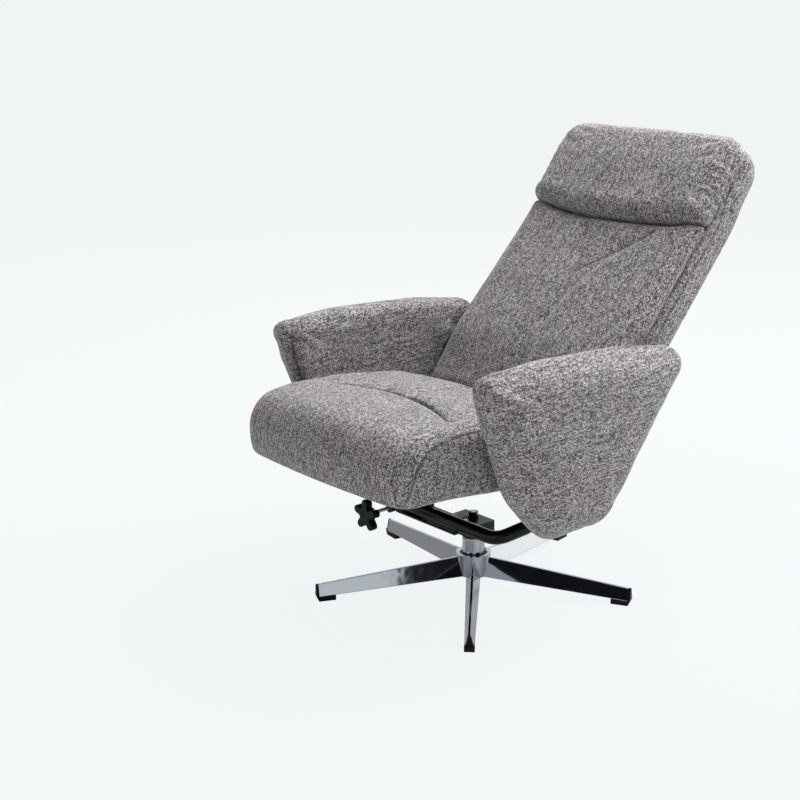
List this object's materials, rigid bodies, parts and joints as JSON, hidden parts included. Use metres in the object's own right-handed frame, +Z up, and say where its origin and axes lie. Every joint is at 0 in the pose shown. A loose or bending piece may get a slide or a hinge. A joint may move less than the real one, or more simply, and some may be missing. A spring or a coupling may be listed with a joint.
{
  "type": "swivel recliner",
  "caption": "Swivel recliner on a polished star base: padded seat, high back with headrest, winged arms, and a knob that clamps the recline.",
  "frame": {"origin": "on the floor, under the swivel axis", "axes": "+Z up; the chair faces -Y; +X is the sitter's left"},
  "size_m": [0.736, 1.0915, 0.9693],
  "materials": {
    "chrome": "polished",
    "black_steel": "semi-gloss powder coat",
    "zinc_steel": "bright zinc",
    "black_plastic": "satin",
    "nylon": "natural",
    "upholstery": "heathered mid-grey woven cover over foam",
    "plywood": "raw",
    "webbing": "elastic webbing",
    "dust_cloth": "thin black nonwoven cloth",
    "rubber": "matte"
  },
  "bodies": {
    "base": {"star_base": "chrome", "foot_caps": "black_plastic", "hub_ring": "black_plastic", "base_column": "chrome", "lower_bush": "nylon", "upper_bush": "nylon", "thrust_washer": "zinc_steel"},
    "chassis": {"swivel_spindle": "zinc_steel", "spindle_clip": "zinc_steel", "swivel_collar": "black_steel", "swivel_bracket": "black_steel", "spindle_nut": "black_steel", "chassis_tube": "black_steel", "tube_saddle": "black_steel", "side_plate_left": "black_steel", "side_plate_right": "black_steel", "hinge_bush_left": "nylon", "hinge_bush_right": "nylon", "arm_board_left": "plywood", "arm_board_right": "plywood", "arm_pad_left": "upholstery", "arm_pad_right": "upholstery", "arm_bolts_left": "zinc_steel", "arm_bolts_right": "zinc_steel", "knob_bush": "black_steel", "shaft_clamp": "black_steel", "brake_pad": "nylon", "shaft_bearing": "black_steel"},
    "brake": {"brake_shaft": "zinc_steel", "brake_lever": "black_steel", "brake_pin": "zinc_steel"},
    "knob": {"clamp_screw": "zinc_steel", "star_knob": "black_plastic"},
    "seat": {"seat_cushion": "upholstery", "seat_frame": "plywood", "seat_straps": "webbing", "seat_dust_cover": "dust_cloth", "seat_bumpers": "rubber", "brake_fork": "black_steel", "seat_rail_left": "black_steel", "seat_rail_right": "black_steel", "rail_screws_left": "zinc_steel", "rail_screws_right": "zinc_steel", "glide_rollers_left": "nylon", "glide_rollers_right": "nylon", "roller_pins_left": "zinc_steel", "roller_pins_right": "zinc_steel"},
    "back": {"back_shell": "upholstery", "back_pad": "upholstery", "headrest_pad": "upholstery", "back_board": "plywood", "back_straps": "webbing", "back_lever_left": "black_steel", "back_lever_right": "black_steel", "lever_bolts_left": "zinc_steel", "lever_bolts_right": "zinc_steel", "hinge_pin_left": "zinc_steel", "hinge_pin_right": "zinc_steel", "link_pin_left": "zinc_steel", "link_pin_right": "zinc_steel"}
  },
  "joints": [
    {"name": "swivel", "type": "hinge", "parent": "base", "child": "chassis", "pos_m": [0, 0, 0.13], "axis": [0, 0, 1], "continuous": true},
    {"name": "back_recline", "type": "hinge", "parent": "chassis", "child": "back", "pos_m": [0, 0.19056, 0.47907], "axis": [-1, 0, 0], "range_deg": [-24, 3]},
    {"name": "seat_glide", "type": "slide", "parent": "chassis", "child": "seat", "axis": [0, -0.9925, 0.1219], "range_m": [-0.0355, 0.0046]},
    {"name": "brake_swing", "type": "hinge", "parent": "chassis", "child": "brake", "pos_m": [-0.075, -0.062, 0.176], "axis": [1, 0, 0], "range_deg": [-18.6, 2.4]},
    {"name": "knob_turn", "type": "hinge", "parent": "chassis", "child": "knob", "pos_m": [-0.134, -0.197, 0.176], "axis": [0, -1, 0], "continuous": true}
  ],
  "couplings": [
    {"joint": "seat_glide", "follows": "back_recline", "m_per_rad": 0.084216},
    {"joint": "brake_swing", "follows": "back_recline", "ratio": 0.7697}
  ]
}
